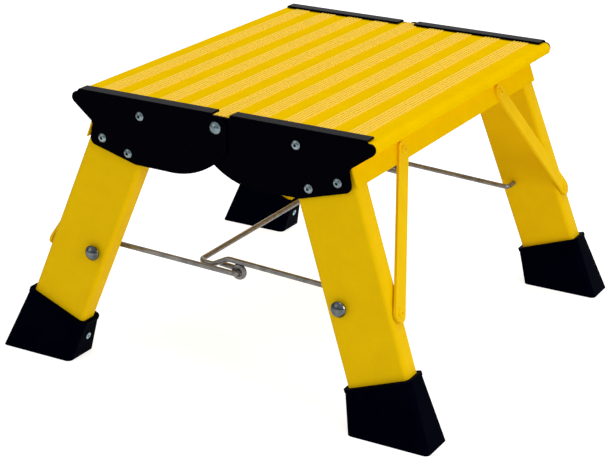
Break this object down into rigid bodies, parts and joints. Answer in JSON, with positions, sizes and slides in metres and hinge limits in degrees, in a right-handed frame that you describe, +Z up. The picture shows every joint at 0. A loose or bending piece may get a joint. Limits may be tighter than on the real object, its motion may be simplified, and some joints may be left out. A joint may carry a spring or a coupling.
{
  "type": "folding step stool",
  "caption": "Folding one-step stool: two hinged ribbed tread halves on splayed tube legs, black end plates, flared rubber boots, diagonal braces and a wire locking spreader.",
  "frame": {"origin": "middle of the footprint at floor level", "axes": "+X across the hinge towards the half that carries the locking bail, +Y along the hinge line, +Z up"},
  "size_m": [0.449, 0.4458, 0.261],
  "materials": {
    "yellow_coat": "satin powder coat",
    "black_coat": "satin black coat",
    "black_rubber": "moulded matt",
    "steel_wire": "drawn bright wire",
    "rivet_alloy": "bright",
    "zinc": "bright zinc plate"
  },
  "bodies": {
    "left_half": {"left_tread": "yellow_coat", "left_near_end_plate": "black_coat", "left_far_end_plate": "black_coat", "left_near_leg": "yellow_coat", "left_far_leg": "yellow_coat", "left_near_boot": "black_rubber", "left_far_boot": "black_rubber", "left_near_brace": "yellow_coat", "left_far_brace": "yellow_coat", "left_near_plate_rivets": "rivet_alloy", "left_far_plate_rivets": "rivet_alloy", "left_brace_rivets": "rivet_alloy", "left_boot_screws": "zinc", "near_hinge_pin": "zinc", "near_hinge_washer": "zinc"},
    "right_half": {"right_tread": "yellow_coat", "right_near_end_plate": "black_coat", "right_far_end_plate": "black_coat", "right_near_leg": "yellow_coat", "right_far_leg": "yellow_coat", "right_near_boot": "black_rubber", "right_far_boot": "black_rubber", "right_near_brace": "yellow_coat", "right_far_brace": "yellow_coat", "right_near_plate_rivets": "rivet_alloy", "right_far_plate_rivets": "rivet_alloy", "right_brace_rivets": "rivet_alloy", "right_boot_screws": "zinc", "far_hinge_pin": "zinc", "far_hinge_washer": "zinc"},
    "locking_bail": {"locking_bail": "steel_wire", "bail_near_cap": "zinc", "bail_far_cap": "zinc"},
    "near_stay_hook": {"near_stay_hook": "steel_wire", "near_hook_cap": "zinc"},
    "far_stay_hook": {"far_stay_hook": "steel_wire", "far_hook_cap": "zinc"}
  },
  "joints": [
    {"name": "centre_hinge", "type": "hinge", "parent": "left_half", "child": "right_half", "pos_m": [0, 0, 0.2485], "axis": [0, 1, 0], "range_deg": [0, 59.5]},
    {"name": "bail_pivot", "type": "hinge", "parent": "right_half", "child": "locking_bail", "pos_m": [0.1275, 0, 0.109], "axis": [0, 1, 0], "range_deg": [0, 51.21]},
    {"name": "near_hook_pivot", "type": "hinge", "parent": "left_half", "child": "near_stay_hook", "pos_m": [-0.1275, -0.19, 0.109], "axis": [0, -1, 0], "range_deg": [0, 35.31]},
    {"name": "far_hook_pivot", "type": "hinge", "parent": "left_half", "child": "far_stay_hook", "pos_m": [-0.1275, 0.19, 0.109], "axis": [0, -1, 0], "range_deg": [0, 35.31]}
  ],
  "couplings": [
    {"joint": "bail_pivot", "follows": "centre_hinge", "ratio": 0.86067},
    {"joint": "near_hook_pivot", "follows": "centre_hinge", "ratio": 0.59344},
    {"joint": "far_hook_pivot", "follows": "centre_hinge", "ratio": 0.59344}
  ]
}
